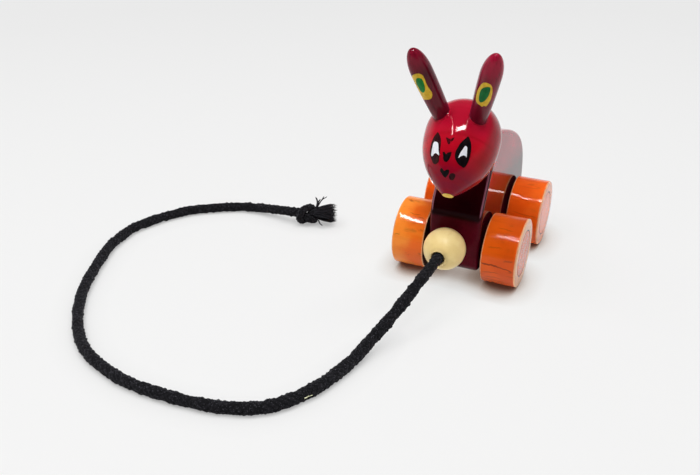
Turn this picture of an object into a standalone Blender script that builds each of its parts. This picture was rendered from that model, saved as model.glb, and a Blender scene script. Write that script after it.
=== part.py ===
"""Wooden rabbit pull toy: a block body on two wheelsets, a turned head with ears, and a pull cord with a bead.

The toy faces -Y and stands on the floor at Z = 0. Every piece hangs on one empty, which lies midway
between the two axles, so the heights below are measured from the axles and the lengths from their middle.
Left and right are as seen from the front: left is -X.
"""

import math

import bmesh
import bpy
from mathutils import Euler, Matrix, Vector
from mathutils.geometry import interpolate_bezier

MM = 0.001

# Clearances
SEAT_GAP = 0.3 * MM  # between pieces that are glued or rest on each other
RUNNING_GAP = 0.3 * MM  # round an axle in the body
WHEEL_SIDE_GAP = 2.45 * MM  # between a wheel and the side of a body that stands midway

# Place of the axles' middle, which centres the toy without its cord on the origin
AXLE_MIDDLE_Y = 8.8 * MM

# Wheels and axles
WHEEL_RADIUS = 20.0 * MM
WHEEL_WIDTH = 19.2 * MM
WHEEL_EDGE_RADIUS = 1.4 * MM
WHEEL_RING_RADIUS = 13.3 * MM
WHEEL_RING_WIDTH = 0.8 * MM
WHEEL_RING_DEPTH = 0.4 * MM
WHEELBASE = 55.3 * MM
AXLE_RADIUS = 4.0 * MM
AXLE_GRIP = 12.0 * MM  # depth of the blind bore that holds the axle in a wheel

# Body outline, seen from the side
BODY_WIDTH = 29.2 * MM
BODY_ASIDE = -0.43 * MM  # the body has slid to the left between its wheels
BODY_FRONT = 44.5 * MM  # ahead of the axles' middle
BODY_TAIL = 51.4 * MM  # behind it
SOLE_DROP = 10.0 * MM  # below the axles
SOLE_END = 38.0 * MM  # where the flat underside turns up into the rump
CROWN_AHEAD = 20.9 * MM
CROWN_RISE = 67.9 * MM
TAIL_RISE = 9.0 * MM  # height of the rearmost point
NECK_LEAN = math.radians(30.0)  # the neck's front face, from upright
BACK_SLOPE = math.radians(16.8)  # the back's fall just behind the crown
BACK_PULL = 59.3 * MM  # how far the back keeps that slope
RUMP_PULL = 29.6 * MM  # how far the rump keeps upright above the tail
HAUNCH_PULL = 11.0 * MM  # the same below the tail and along the sole
CHIN_RADIUS = 20.0 * MM  # rounding between front face and neck
TOE_RADIUS = 5.0 * MM
CROWN_RADIUS = 5.0 * MM
FRONT_EDGE_RADIUS = 2.5 * MM  # rounding of the side edges at the front face and neck
BACK_EDGE_RADIUS = 2.0 * MM  # and along the back
EDGE_BLEND_START = 28.0 * MM  # ahead of the axles' middle, where the first gives way to the second
EDGE_BLEND_LENGTH = 16.0 * MM

# Head
HEAD_RADIUS = 20.4 * MM
HEAD_BACK = 21.0 * MM  # from the widest ring to the back pole
HEAD_LENGTH = 34.8 * MM  # from the widest ring to the nose
HEAD_TAPER = 2.45  # power of the muzzle's curve
NOSE_RADIUS = 2.8 * MM
HEAD_PITCH = math.radians(37.7)  # the nose points down
HEAD_TURN = math.radians(3.7)  # and a little to the right
HEAD_BELOW_CROWN = 9.2 * MM  # along the neck, from the crown to the middle of the seat
HEAD_SEAT_DEPTH = 16.35 * MM  # from the head's middle to the flat that sits on the neck
NECK_DOWEL_RADIUS = 4.0 * MM
NECK_DOWEL_IN_BODY = 14.0 * MM
NECK_DOWEL_IN_HEAD = 10.0 * MM

# Ears
EAR_LENGTH = 45.0 * MM  # above the head
EAR_ROOT_RADIUS = 4.8 * MM
EAR_RADIUS = 5.6 * MM
EAR_WIDEST = 30.4 * MM  # height of the widest ring
EAR_SOCKET_DEPTH = 8.0 * MM
EAR_SPREAD = 19.2 * MM  # between the roots
EAR_AHEAD = 8.1 * MM  # roots ahead of the head's middle
EAR_RISE = 15.2 * MM  # roots above the head's middle
EAR_STAGGER = 2.3 * MM  # the left root sits lower than the right one
EAR_SPLAY = math.radians(16.6)
EAR_LEAN = math.radians(26.2)

# Pull cord and bead
CORD_RADIUS = 2.9 * MM
CORD_HOLE_GAP = 0.6 * MM  # round the soft cord in its drilled holes
CORD_STEP = 14.0 * MM  # spacing of the points along the tube
PULL_HOLE_ASIDE = -1.07 * MM  # from the middle of the body
PULL_HOLE_RISE = 8.9 * MM  # above the axles
BEAD_RADIUS = 11.7 * MM
BEAD_RIM_RADIUS = 0.7 * MM
KNOT_POCKET_RADIUS = 9.0 * MM
KNOT_POCKET_AHEAD = 11.0 * MM
KNOT_POCKET_HEADROOM = 9.0 * MM  # above the middle of the cord
KNOT_RADIUS = 6.6 * MM
KNOT_LENGTH = 13.0 * MM
KNOT_WRAPS = 3
KNOT_WRAP_DEPTH = 0.6 * MM
TUFT_LENGTH = 13.0 * MM
TUFT_RADIUS = 6.4 * MM
TUFT_FLARE = 0.6  # power of its widening
TUFT_SHOULDER = 0.9  # share of its length that widens
TUFT_TURN = math.radians(20.0)  # the frayed end turns aside from the knot
TUFT_LIFT = math.radians(9.0)
FLOOR_GAP = 0.3 * MM  # under the end knot

# Where the cord lies once it has left the bead: along X, along Y from the axles' middle, above the floor
CORD_ROUTE = [
    (-4.9, -87.6, 24.1),
    (-11.0, -108.0, 14.6),
    (-17.3, -125.8, 6.8),
    (-21.0, -141.0, 3.4),
    (-28.5, -165.6, 3.0),
    (-42.0, -185.2, 3.0),
    (-62.0, -194.6, 3.0),
    (-91.0, -198.0, 3.0),
    (-120.0, -195.6, 3.0),
    (-152.5, -181.0, 3.0),
    (-181.4, -147.0, 3.0),
    (-200.4, -103.4, 3.0),
    (-204.8, -82.0, 3.0),
    (-203.0, -62.6, 3.0),
    (-187.0, -34.2, 3.0),
    (-161.0, -15.6, 3.0),
    (-146.0, -11.6, 3.6),
    (-133.0, -11.8, 5.2),
]
# and where it runs level into its end knot
CORD_END = [(-122.5, -13.2), (-114.8, -12.5)]

# Fineness of the facets
TURNED_STEPS = 48
HEAD_STEPS = 40
BEAD_STEPS = 32
SMALL_STEPS = 24
KNOT_STEPS = 16
CORNER_STEPS = 5
RIM_STEPS = 3
WRAP_STEPS = 4
CORD_ROUND_STEPS = 3
CURVE_STEPS = 12
BACK_STEPS = 18
EDGE_SEGMENTS = 4
MERGE_DISTANCE = 0.01 * MM
FLAT_ANGLE = math.radians(0.1)  # facets that meet at less than this become one face
SHARP_ANGLE = math.radians(40.0)  # edges that turn more than this stay sharp
CUT_PAST = 20.0 * MM  # how far a cutter reaches beyond the surface that it opens

# Places that follow from the sizes above
AXLE_Y = {"front": -WHEELBASE / 2, "rear": WHEELBASE / 2}
SIDE_X = {"left": -1, "right": 1}
NECK_UP = Vector((0, math.sin(NECK_LEAN), math.cos(NECK_LEAN)))
NECK_OUT = Vector((0, -math.cos(NECK_LEAN), math.sin(NECK_LEAN)))
CROWN = Vector((BODY_ASIDE, -CROWN_AHEAD, CROWN_RISE))
SEAT = CROWN - NECK_UP * HEAD_BELOW_CROWN
HEAD_MIDDLE = SEAT + NECK_OUT * (HEAD_SEAT_DEPTH + SEAT_GAP)
PULL_HOLE = Vector((BODY_ASIDE + PULL_HOLE_ASIDE, 0, PULL_HOLE_RISE))
PULL_HOLE_RADIUS = CORD_RADIUS + CORD_HOLE_GAP
BEAD_HALF = math.sqrt(BEAD_RADIUS**2 - (PULL_HOLE_RADIUS + BEAD_RIM_RADIUS) ** 2) + BEAD_RIM_RADIUS
BEAD_Y = -BODY_FRONT - SEAT_GAP - BEAD_HALF
KNOT_FRONT_Y = -KNOT_POCKET_AHEAD - KNOT_POCKET_RADIUS + SEAT_GAP


def clear_scene():
    for old in list(bpy.data.objects):
        bpy.data.objects.remove(old)


def make_collection(name):
    collection = bpy.data.collections.new(name)
    bpy.context.scene.collection.children.link(collection)
    return collection


def make_material(name, colour, roughness, coat=0.0):
    material = bpy.data.materials.new(name)
    material.use_nodes = True
    shader = material.node_tree.nodes["Principled BSDF"]
    shader.inputs["Base Color"].default_value = (*colour, 1)
    shader.inputs["Roughness"].default_value = roughness
    shader.inputs["Metallic"].default_value = 0.0
    shader.inputs["Coat Weight"].default_value = coat
    return material


def add_object(name, data, collection, material=None):
    obj = bpy.data.objects.new(name, data)
    obj.parent = toy
    collection.objects.link(obj)
    if material:
        data.materials.append(material)
    return obj


def turned(name, profile, material, steps=TURNED_STEPS):
    """A turned piece: (radius, height) points, from the top down, spun round Z."""
    mesh = bpy.data.meshes.new(name)
    points = [(radius, 0, height) for radius, height in profile]
    mesh.from_pydata(points, [(i, i + 1) for i in range(len(points) - 1)], [])
    obj = add_object(name, mesh, parts, material)
    screw = obj.modifiers.new("Lathe", "SCREW")
    screw.steps = steps
    screw.render_steps = steps
    screw.use_merge_vertices = True
    screw.merge_threshold = MERGE_DISTANCE
    return obj


def rod_mesh(name, radius, length, steps):
    """A round rod along Z, with its middle at the origin."""
    mesh = bpy.data.meshes.new(name)
    shape = bmesh.new()
    bmesh.ops.create_cone(
        shape, cap_ends=True, segments=steps, radius1=radius, radius2=radius, depth=length
    )
    shape.to_mesh(mesh)
    shape.free()
    mesh.shade_smooth()
    mesh.set_sharp_from_angle(angle=SHARP_ANGLE)
    return mesh


def lay_along(obj, start, end):
    """Puts a rod between two points."""
    obj.location = (start + end) / 2
    obj.rotation_euler = (end - start).to_track_quat("Z", "Y").to_euler()


def rod(name, radius, start, end, material, steps=SMALL_STEPS):
    obj = add_object(name, rod_mesh(name, radius, (end - start).length, steps), parts, material)
    lay_along(obj, start, end)
    return obj


def drill(target, name, radius, start, end, steps=SMALL_STEPS):
    """Cuts a round hole from start to end."""
    cutter = add_object(name, rod_mesh(name, radius, (end - start).length, steps), cutters)
    lay_along(cutter, start, end)
    cut(target, cutter)


def cut(target, cutter):
    cutter.hide_render = True
    cutter.display_type = "WIRE"
    boolean = target.modifiers.new(cutter.name, "BOOLEAN")
    boolean.operation = "DIFFERENCE"
    boolean.solver = "EXACT"
    boolean.object = cutter


def arc(centre, radius, start, end, steps):
    """Points on an arc in a plane, from one angle to another."""
    angles = [start + (end - start) * i / steps for i in range(steps + 1)]
    return [(centre[0] + radius * math.cos(a), centre[1] + radius * math.sin(a)) for a in angles]


def fillet(before, corner, after, radius):
    """Points that round a corner of an outline with an arc."""
    corner = Vector(corner)
    back = (Vector(before) - corner).normalized()
    on = (Vector(after) - corner).normalized()
    half = back.angle(on) / 2
    middle = corner + (back + on).normalized() * radius / math.sin(half)
    first = corner + back * radius / math.tan(half) - middle
    turn = first.angle_signed(corner + on * radius / math.tan(half) - middle)
    return [
        tuple(middle + Matrix.Rotation(-turn * i / CORNER_STEPS, 2) @ first)
        for i in range(CORNER_STEPS + 1)
    ]


def body_outline():
    """The side view as (Y, Z) points: up the front face and neck, down the back and along the sole."""
    toe = (-BODY_FRONT, -SOLE_DROP)
    chin = (-BODY_FRONT, CROWN_RISE - (BODY_FRONT - CROWN_AHEAD) / math.tan(NECK_LEAN))
    crown = (-CROWN_AHEAD, CROWN_RISE)
    sole = (SOLE_END, -SOLE_DROP)
    tail = (BODY_TAIL, TAIL_RISE)
    fall = Vector((math.cos(BACK_SLOPE), -math.sin(BACK_SLOPE)))
    shoulder = fillet(chin, crown, Vector(crown) + fall, CROWN_RADIUS)
    back = interpolate_bezier(
        shoulder[-1],
        Vector(crown) + fall * BACK_PULL,
        (tail[0], tail[1] + RUMP_PULL),
        tail,
        BACK_STEPS + 1,
    )
    haunch = interpolate_bezier(
        tail,
        (tail[0], tail[1] - HAUNCH_PULL),
        (sole[0] + HAUNCH_PULL, sole[1]),
        sole,
        CURVE_STEPS,
    )
    front = fillet(sole, toe, chin, TOE_RADIUS) + fillet(toe, chin, crown, CHIN_RADIUS) + shoulder
    return front + [point.to_2d() for point in back[1:] + haunch[1:]]


def edge_share(y):
    """The side edges' rounding at this length, as a share of the rounding at the front."""
    front = min(max((-y - EDGE_BLEND_START) / EDGE_BLEND_LENGTH + 1, 0), 1)
    least = BACK_EDGE_RADIUS / FRONT_EDGE_RADIUS
    return least + (1 - least) * front


def make_body(material):
    """The sawn block: its outline extruded over the width, with rounded side edges."""
    curve = bpy.data.curves.new("body_outline", "CURVE")
    curve.dimensions = "2D"
    curve.fill_mode = "BOTH"
    curve.extrude = BODY_WIDTH / 2
    outline = body_outline()
    spline = curve.splines.new("POLY")
    spline.points.add(len(outline) - 1)
    for point, (y, z) in zip(spline.points, outline):
        point.co = (y, z, 0, 1)
    spline.use_cyclic_u = True
    pattern = add_object("body_outline", curve, parts)
    bpy.context.view_layer.update()
    graph = bpy.context.evaluated_depsgraph_get()
    mesh = bpy.data.meshes.new_from_object(pattern.evaluated_get(graph))
    bpy.data.objects.remove(pattern)

    shape = bmesh.new()
    shape.from_mesh(mesh)
    bmesh.ops.remove_doubles(shape, verts=shape.verts, dist=MERGE_DISTANCE)
    bmesh.ops.dissolve_limit(shape, angle_limit=FLAT_ANGLE, verts=shape.verts, edges=shape.edges)
    bmesh.ops.recalc_face_normals(shape, faces=shape.faces)
    weight = shape.edges.layers.float.new("bevel_weight_edge")
    for edge in shape.edges:
        first, second = edge.verts
        if first.co.z * second.co.z > 0:
            edge[weight] = edge_share((first.co.x + second.co.x) / 2)
    shape.to_mesh(mesh)
    shape.free()
    mesh.shade_smooth()
    mesh.set_sharp_from_angle(angle=SHARP_ANGLE)

    body = add_object("body", mesh, parts, material)
    body.location.x = BODY_ASIDE
    body.rotation_euler = (math.pi / 2, 0, math.pi / 2)
    rounding = body.modifiers.new("Side edges", "BEVEL")
    rounding.limit_method = "WEIGHT"
    rounding.width = FRONT_EDGE_RADIUS
    rounding.segments = EDGE_SEGMENTS
    rounding.use_clamp_overlap = False

    past_side = Vector((BODY_WIDTH / 2 + CUT_PAST, 0, 0))
    for end, y in AXLE_Y.items():
        middle = Vector((0, y, 0))
        drill(
            body,
            end + "_axle_bore",
            AXLE_RADIUS + RUNNING_GAP,
            middle - past_side,
            middle + past_side,
            TURNED_STEPS,
        )
    pocket = PULL_HOLE + Vector((0, -KNOT_POCKET_AHEAD, 0))
    drill(
        body,
        "knot_pocket",
        KNOT_POCKET_RADIUS,
        pocket - Vector((0, 0, PULL_HOLE_RISE + SOLE_DROP + CUT_PAST)),
        pocket + Vector((0, 0, KNOT_POCKET_HEADROOM)),
    )
    drill(
        body,
        "pull_hole",
        PULL_HOLE_RADIUS,
        PULL_HOLE - Vector((0, BODY_FRONT + CUT_PAST, 0)),
        pocket,
    )
    drill(
        body,
        "neck_dowel_hole",
        NECK_DOWEL_RADIUS + SEAT_GAP,
        SEAT - NECK_OUT * (NECK_DOWEL_IN_BODY + SEAT_GAP),
        SEAT + NECK_OUT * CUT_PAST,
    )


def head_profile():
    """Nose flat, muzzle, widest ring and round back, from the nose down."""
    muzzle = []
    for i in range(CURVE_STEPS, 0, -1):
        along = math.sin(i / CURVE_STEPS * math.pi / 2)
        radius = NOSE_RADIUS + (HEAD_RADIUS - NOSE_RADIUS) * (1 - along**HEAD_TAPER)
        muzzle.append((radius, HEAD_LENGTH * along))
    back = [
        (HEAD_RADIUS * math.cos(a), -HEAD_BACK * math.sin(a))
        for a in (math.pi / 2 * i / CURVE_STEPS for i in range(CURVE_STEPS))
    ]
    return [(0, HEAD_LENGTH)] + muzzle + back + [(0, -HEAD_BACK)]


def ear_root(side):
    """Where an ear's middle line meets the head."""
    aside = SIDE_X[side] * EAR_SPREAD / 2
    rise = EAR_RISE + SIDE_X[side] * EAR_STAGGER / 2
    return HEAD_MIDDLE + Vector((aside, -EAR_AHEAD, rise))


def ear_turn(side):
    return (EAR_LEAN, SIDE_X[side] * EAR_SPLAY, 0)


def make_head(material, plain_wood):
    head = turned("head", head_profile(), material, HEAD_STEPS)
    head.location = HEAD_MIDDLE
    forward = Vector(
        (
            math.sin(HEAD_TURN) * math.cos(HEAD_PITCH),
            -math.cos(HEAD_TURN) * math.cos(HEAD_PITCH),
            -math.sin(HEAD_PITCH),
        )
    )
    head.rotation_euler = forward.to_track_quat("Z", "Y").to_euler()

    seat_side = 2 * (HEAD_RADIUS + HEAD_LENGTH)
    block = bpy.data.meshes.new("head_seat")
    shape = bmesh.new()
    bmesh.ops.create_cube(shape, size=seat_side)
    shape.to_mesh(block)
    shape.free()
    seat = add_object("head_seat", block, cutters)
    seat.location = SEAT + NECK_OUT * (SEAT_GAP - seat_side / 2)
    seat.rotation_euler = NECK_OUT.to_track_quat("Z", "Y").to_euler()
    cut(head, seat)

    hole_start = SEAT - NECK_OUT * CUT_PAST
    hole_end = SEAT + NECK_OUT * (NECK_DOWEL_IN_HEAD + 2 * SEAT_GAP)
    drill(head, "head_dowel_hole", NECK_DOWEL_RADIUS + SEAT_GAP, hole_start, hole_end)
    for side in SIDE_X:
        along = Euler(ear_turn(side)).to_matrix() @ Vector((0, 0, 1))
        drill(
            head,
            side + "_ear_socket",
            EAR_ROOT_RADIUS + SEAT_GAP,
            ear_root(side) - along * (EAR_SOCKET_DEPTH + SEAT_GAP),
            ear_root(side) + along * CUT_PAST,
        )
    rod(
        "neck_dowel",
        NECK_DOWEL_RADIUS,
        SEAT - NECK_OUT * NECK_DOWEL_IN_BODY,
        SEAT + NECK_OUT * (NECK_DOWEL_IN_HEAD + SEAT_GAP),
        plain_wood,
    )


def ear_profile():
    """Round tip, widest ring, straight root in its socket, from the tip down."""
    tip_height = EAR_LENGTH - EAR_WIDEST
    tip = [
        (EAR_RADIUS * math.sin(a), EAR_WIDEST + tip_height * math.cos(a))
        for a in (math.pi / 2 * i / CORNER_STEPS / 2 for i in range(2 * CORNER_STEPS))
    ]
    shaft = []
    for i in range(CORNER_STEPS, -1, -1):
        along = i / CORNER_STEPS
        swell = math.sin(along * math.pi / 2)
        shaft.append((EAR_ROOT_RADIUS + (EAR_RADIUS - EAR_ROOT_RADIUS) * swell, EAR_WIDEST * along))
    return tip + shaft + [(EAR_ROOT_RADIUS, -EAR_SOCKET_DEPTH), (0, -EAR_SOCKET_DEPTH)]


def make_ears(material):
    for side in SIDE_X:
        ear = turned(side + "_ear", ear_profile(), material, SMALL_STEPS)
        ear.location = ear_root(side)
        ear.rotation_euler = ear_turn(side)


def wheel_profile():
    """Outer face with its turned ring, rounded tread edges, inner face and blind bore, from the outside in."""
    edge = WHEEL_RADIUS - WHEEL_EDGE_RADIUS
    outer_middle = (edge, WHEEL_WIDTH - WHEEL_EDGE_RADIUS)
    outer_edge = arc(outer_middle, WHEEL_EDGE_RADIUS, math.pi / 2, 0, RIM_STEPS)
    inner_edge = arc((edge, WHEEL_EDGE_RADIUS), WHEEL_EDGE_RADIUS, 0, -math.pi / 2, RIM_STEPS)
    ring = [
        (WHEEL_RING_RADIUS - WHEEL_RING_WIDTH / 2, WHEEL_WIDTH),
        (WHEEL_RING_RADIUS, WHEEL_WIDTH - WHEEL_RING_DEPTH),
        (WHEEL_RING_RADIUS + WHEEL_RING_WIDTH / 2, WHEEL_WIDTH),
    ]
    bore = AXLE_RADIUS + SEAT_GAP
    hole = [(bore, 0), (bore, AXLE_GRIP + SEAT_GAP), (0, AXLE_GRIP + SEAT_GAP)]
    return [(0, WHEEL_WIDTH)] + ring + outer_edge + inner_edge + hole


def make_wheelsets(material, plain_wood):
    inner_face = BODY_WIDTH / 2 + WHEEL_SIDE_GAP
    for end, y in AXLE_Y.items():
        for side, sign in SIDE_X.items():
            wheel = turned(f"{end}_{side}_wheel", wheel_profile(), material)
            wheel.location = (sign * inner_face, y, 0)
            wheel.rotation_euler = (0, sign * math.pi / 2, 0)
        half = Vector((inner_face + AXLE_GRIP, 0, 0))
        middle = Vector((0, y, 0))
        rod(end + "_axle", AXLE_RADIUS, middle - half, middle + half, plain_wood)


def make_bead(material):
    """A ball with a hole along the cord, whose rims are eased."""
    rim_middle = (PULL_HOLE_RADIUS + BEAD_RIM_RADIUS, BEAD_HALF - BEAD_RIM_RADIUS)
    rim = arc(rim_middle, BEAD_RIM_RADIUS, math.pi, math.pi / 2, RIM_STEPS)
    polar = math.atan2(rim_middle[0], rim_middle[1])
    ball = [
        (BEAD_RADIUS * math.sin(a), BEAD_RADIUS * math.cos(a))
        for a in (
            polar + (math.pi - 2 * polar) * i / CURVE_STEPS for i in range(1, CURVE_STEPS)
        )
    ]
    below = [(radius, -height) for radius, height in reversed(rim)]
    profile = rim + ball + below + rim[:1]
    bead = turned("pull_bead", profile, material, BEAD_STEPS)
    bead.location = PULL_HOLE + Vector((0, BEAD_Y, 0))
    bead.rotation_euler = (math.pi / 2, 0, 0)


def smooth_route(points, step):
    """Points at about this spacing on a smooth curve through the given ones."""
    ends = [2 * points[0] - points[1]] + points + [2 * points[-1] - points[-2]]
    route = [points[0]]
    for before, start, end, after in zip(ends, ends[1:], ends[2:], ends[3:]):
        count = max(1, round((end - start).length / step))
        for i in range(1, count + 1):
            t = i / count
            route.append(
                (
                    2 * start
                    + (end - before) * t
                    + (2 * before - 5 * start + 4 * end - after) * t**2
                    + (3 * start - 3 * end + after - before) * t**3
                )
                / 2
            )
    return route


def knot_profile():
    """A hard knot: a barrel with a few wraps, as wide as the cord at both ends."""
    steps = WRAP_STEPS * KNOT_WRAPS
    profile = []
    for i in range(steps + 1):
        along = i / steps
        swell = math.sin(math.pi * along)
        wrap = KNOT_WRAP_DEPTH * math.cos(2 * math.pi * KNOT_WRAPS * along) * swell
        radius = CORD_RADIUS + (KNOT_RADIUS - CORD_RADIUS) * swell - wrap - KNOT_WRAP_DEPTH * swell
        profile.append((radius, KNOT_LENGTH * (1 - along)))
    return [(0, KNOT_LENGTH)] + profile + [(0, 0)]


def tuft_profile():
    """The frayed end: round where it leaves the knot, flaring to a blunt tip."""
    flare = []
    for i in range(CORNER_STEPS, 0, -1):
        along = i / CORNER_STEPS
        spread = TUFT_RADIUS * math.sin(along * math.pi / 2) ** TUFT_FLARE
        flare.append((spread, TUFT_LENGTH * TUFT_SHOULDER * along))
    return [(0, TUFT_LENGTH)] + flare + [(0, 0)]


def make_cord(material):
    """The cord from the knot in the body, through the hole and the bead, and over the floor to its end knot."""
    anchor_end = KNOT_FRONT_Y - SEAT_GAP
    inside = [anchor_end, (anchor_end - BODY_FRONT) / 2, -BODY_FRONT, BEAD_Y, BEAD_Y - BEAD_HALF]
    straight = [PULL_HOLE + Vector((0, y, 0)) for y in inside]
    floor = Vector((0, 0, -WHEEL_RADIUS))
    free = [Vector(point) * MM + floor for point in CORD_ROUTE]
    knot_rise = Vector((0, 0, KNOT_RADIUS + FLOOR_GAP))
    level = [Vector((*point, 0)) * MM + floor + knot_rise for point in CORD_END]
    route = smooth_route(straight + free + level, CORD_STEP)

    curve = bpy.data.curves.new("pull_cord", "CURVE")
    curve.dimensions = "3D"
    curve.bevel_depth = CORD_RADIUS
    curve.bevel_resolution = CORD_ROUND_STEPS
    curve.use_fill_caps = True
    spline = curve.splines.new("POLY")
    spline.points.add(len(route) - 1)
    for point, place in zip(spline.points, route):
        point.co = (*place, 1)
    add_object("pull_cord", curve, parts, material)

    anchor = turned("anchor_knot", knot_profile(), material, KNOT_STEPS)
    anchor.location = PULL_HOLE + Vector((0, KNOT_FRONT_Y, 0))
    anchor.rotation_euler = (-math.pi / 2, 0, 0)

    onward = (level[-1] - level[-2]).normalized()
    knot = turned("end_knot", knot_profile(), material, KNOT_STEPS)
    knot.location = level[-1] + onward * SEAT_GAP
    knot.rotation_euler = onward.to_track_quat("Z", "Y").to_euler()
    aside = Matrix.Rotation(TUFT_TURN, 3, "Z") @ onward
    upward = aside * math.cos(TUFT_LIFT) + Vector((0, 0, math.sin(TUFT_LIFT)))
    tuft = turned("frayed_tuft", tuft_profile(), material, KNOT_STEPS)
    tuft.location = knot.location + onward * (KNOT_LENGTH + SEAT_GAP)
    tuft.rotation_euler = upward.to_track_quat("Z", "Y").to_euler()


clear_scene()
parts = make_collection("rabbit_pull_toy")
cutters = make_collection("cutters")
toy = bpy.data.objects.new("toy_middle", None)
toy.location = (0, AXLE_MIDDLE_Y, WHEEL_RADIUS)
parts.objects.link(toy)

bare = make_material("plain_wood", (0.72, 0.52, 0.30), 0.6)
make_body(make_material("maroon_lacquer", (0.10, 0.008, 0.025), 0.12, 1.0))
make_head(make_material("red_lacquer", (0.45, 0.010, 0.03), 0.12, 1.0), bare)
make_ears(make_material("plum_lacquer", (0.20, 0.012, 0.05), 0.12, 1.0))
make_wheelsets(make_material("orange_lacquer", (0.78, 0.14, 0.015), 0.15, 1.0), bare)
make_bead(make_material("cream_lacquer", (0.84, 0.66, 0.34), 0.2, 0.8))
make_cord(make_material("black_cotton", (0.012, 0.012, 0.014), 0.95))
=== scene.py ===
"""Looks of the wooden rabbit pull toy: lacquered wood, painted face, braided black cord, pale studio."""

import math
import random

import bmesh
import bpy
from mathutils import Euler, Matrix, Vector
from mathutils.geometry import delaunay_2d_cdt, interpolate_bezier


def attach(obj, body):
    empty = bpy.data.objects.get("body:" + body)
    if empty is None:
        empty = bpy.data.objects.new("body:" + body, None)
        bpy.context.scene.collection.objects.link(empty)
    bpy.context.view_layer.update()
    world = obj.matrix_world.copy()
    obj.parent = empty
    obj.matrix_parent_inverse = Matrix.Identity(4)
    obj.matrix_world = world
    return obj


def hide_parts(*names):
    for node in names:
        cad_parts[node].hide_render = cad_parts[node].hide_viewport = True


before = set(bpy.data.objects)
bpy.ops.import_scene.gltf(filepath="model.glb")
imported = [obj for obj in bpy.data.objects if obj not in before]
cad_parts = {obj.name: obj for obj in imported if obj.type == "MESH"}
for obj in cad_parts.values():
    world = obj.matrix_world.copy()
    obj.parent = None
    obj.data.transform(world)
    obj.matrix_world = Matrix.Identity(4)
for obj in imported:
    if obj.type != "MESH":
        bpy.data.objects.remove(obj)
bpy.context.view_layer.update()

MM = 0.001
TOY = "toy"

# Sizes of the CAD model, in millimetres, in the row frame; some wheel and body sizes are the photograph's
AXLES_Y = 8.8  # the axles' middle
FLOOR_TO_AXLE = 20.0
WHEEL_RADIUS, WHEEL_EDGE = 20.0, 1.0
RING_RADIUS, RING_WIDTH, RING_DEPTH, RING_FLOOR = 13.3, 0.8, 0.4, 0.16
WHEEL_SIDES = {"left": (17.05, 19.2), "right": (16.5, 20.1)}  # inner face and width
HALF_WHEELBASE = 27.65
AXLE_HOLE, AXLE_GRIP = 4.3, 12.3
FRONT_Y, SOLE_Z, CROWN = -44.5, -10.0, (-20.9, 67.9)  # of the body, from the axles' middle
LEFT_SIDE, RIGHT_SIDE, RIGHT_SKEW = -15.03, 14.9, 0.0054
BACK_EDGE, FRONT_EDGE, EDGE_BLEND_END, EDGE_BLEND_LENGTH = 2.0, 2.2, 12.0, 16.0
HEAD_ASIDE, SEAT_DROP, HEAD_STAND_OFF = -0.43, 9.2, 16.65
HEAD_RADIUS, HEAD_BACK, HEAD_LENGTH, HEAD_TAPER, NOSE_RADIUS = 20.4, 21.0, 34.8, 2.45, 2.8
HEAD_PITCH, HEAD_TURN = math.radians(37.7), math.radians(3.7)
NECK_LEAN = math.radians(30.0)
EAR_LENGTH, EAR_ROOT, EAR_RADIUS, EAR_WIDEST, EAR_SOCKET = 45.0, 4.8, 5.6, 30.4, 8.0
EAR_LEAN, EAR_SPLAY = math.radians(26.2), math.radians(16.6)
EAR_GAP, EAR_AHEAD, EAR_UP, EAR_STEP = 19.2, -8.1, 15.2, 2.3
CORD_RADIUS, CORD_START_Y = 2.9, -20.0
PULL_HOLE = Vector((-1.5, 0, 28.9))
HOLE_RADIUS, BEAD_RADIUS, BEAD_RIM, BEAD_GAP = 3.5, 11.7, 0.7, 0.3
BODY_FRONT_Y = FRONT_Y + AXLES_Y
BEAD_HALF = math.sqrt(BEAD_RADIUS**2 - (HOLE_RADIUS + BEAD_RIM) ** 2) + BEAD_RIM
BEAD_Y = BODY_FRONT_Y - BEAD_GAP - BEAD_HALF
NECK_UP = Vector((0, math.sin(NECK_LEAN), math.cos(NECK_LEAN)))
NECK_OUT = Vector((0, -math.cos(NECK_LEAN), math.sin(NECK_LEAN)))
SEAT = Vector((HEAD_ASIDE, CROWN[0] + AXLES_Y, CROWN[1] + FLOOR_TO_AXLE)) - NECK_UP * SEAT_DROP
HEAD_MIDDLE = SEAT + NECK_OUT * HEAD_STAND_OFF
POCKET_Y, POCKET_RADIUS = -11.0 + AXLES_Y, 9.0
SIDES = {"left": -1, "right": 1}


# Camera, fitted to the photograph of 700 x 475


PHOTO_WIDTH, FOCAL_PIXELS, SENSOR_WIDTH = 700, 824.1, 36.0
CAMERA_PLACE = (110.61, -429.58, 252.17)
CAMERA_AZIMUTH, CAMERA_ELEVATION, CAMERA_ROLL = 0.416588, 0.501652, 0.004547


def direction(azimuth, elevation):
    """A unit vector to the front, turned to the right and raised by these angles."""
    level = math.cos(elevation)
    return Vector((math.sin(azimuth) * level, -math.cos(azimuth) * level, math.sin(elevation)))


def make_camera():
    back = direction(CAMERA_AZIMUTH, CAMERA_ELEVATION)
    right = Vector((math.cos(CAMERA_AZIMUTH), math.sin(CAMERA_AZIMUTH), 0))
    up = back.cross(right)
    rolled = right * math.cos(CAMERA_ROLL) + up * math.sin(CAMERA_ROLL)
    turn = Matrix((rolled, back.cross(rolled), back)).transposed()
    data = bpy.data.cameras.new("camera")
    data.sensor_width = SENSOR_WIDTH
    data.lens = FOCAL_PIXELS * SENSOR_WIDTH / PHOTO_WIDTH
    camera = bpy.data.objects.new("camera", data)
    camera.matrix_world = at(CAMERA_PLACE) @ turn.to_4x4()
    bpy.context.scene.collection.objects.link(camera)
    bpy.context.scene.camera = camera


# Mesh helpers: all points in millimetres


def add_mesh(name, points, faces, material, matrix=None):
    mesh = bpy.data.meshes.new(name)
    mesh.from_pydata([tuple(c * MM for c in p) for p in points], [], faces)
    mesh.validate()
    return add_piece(name, mesh, material, matrix)


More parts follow.
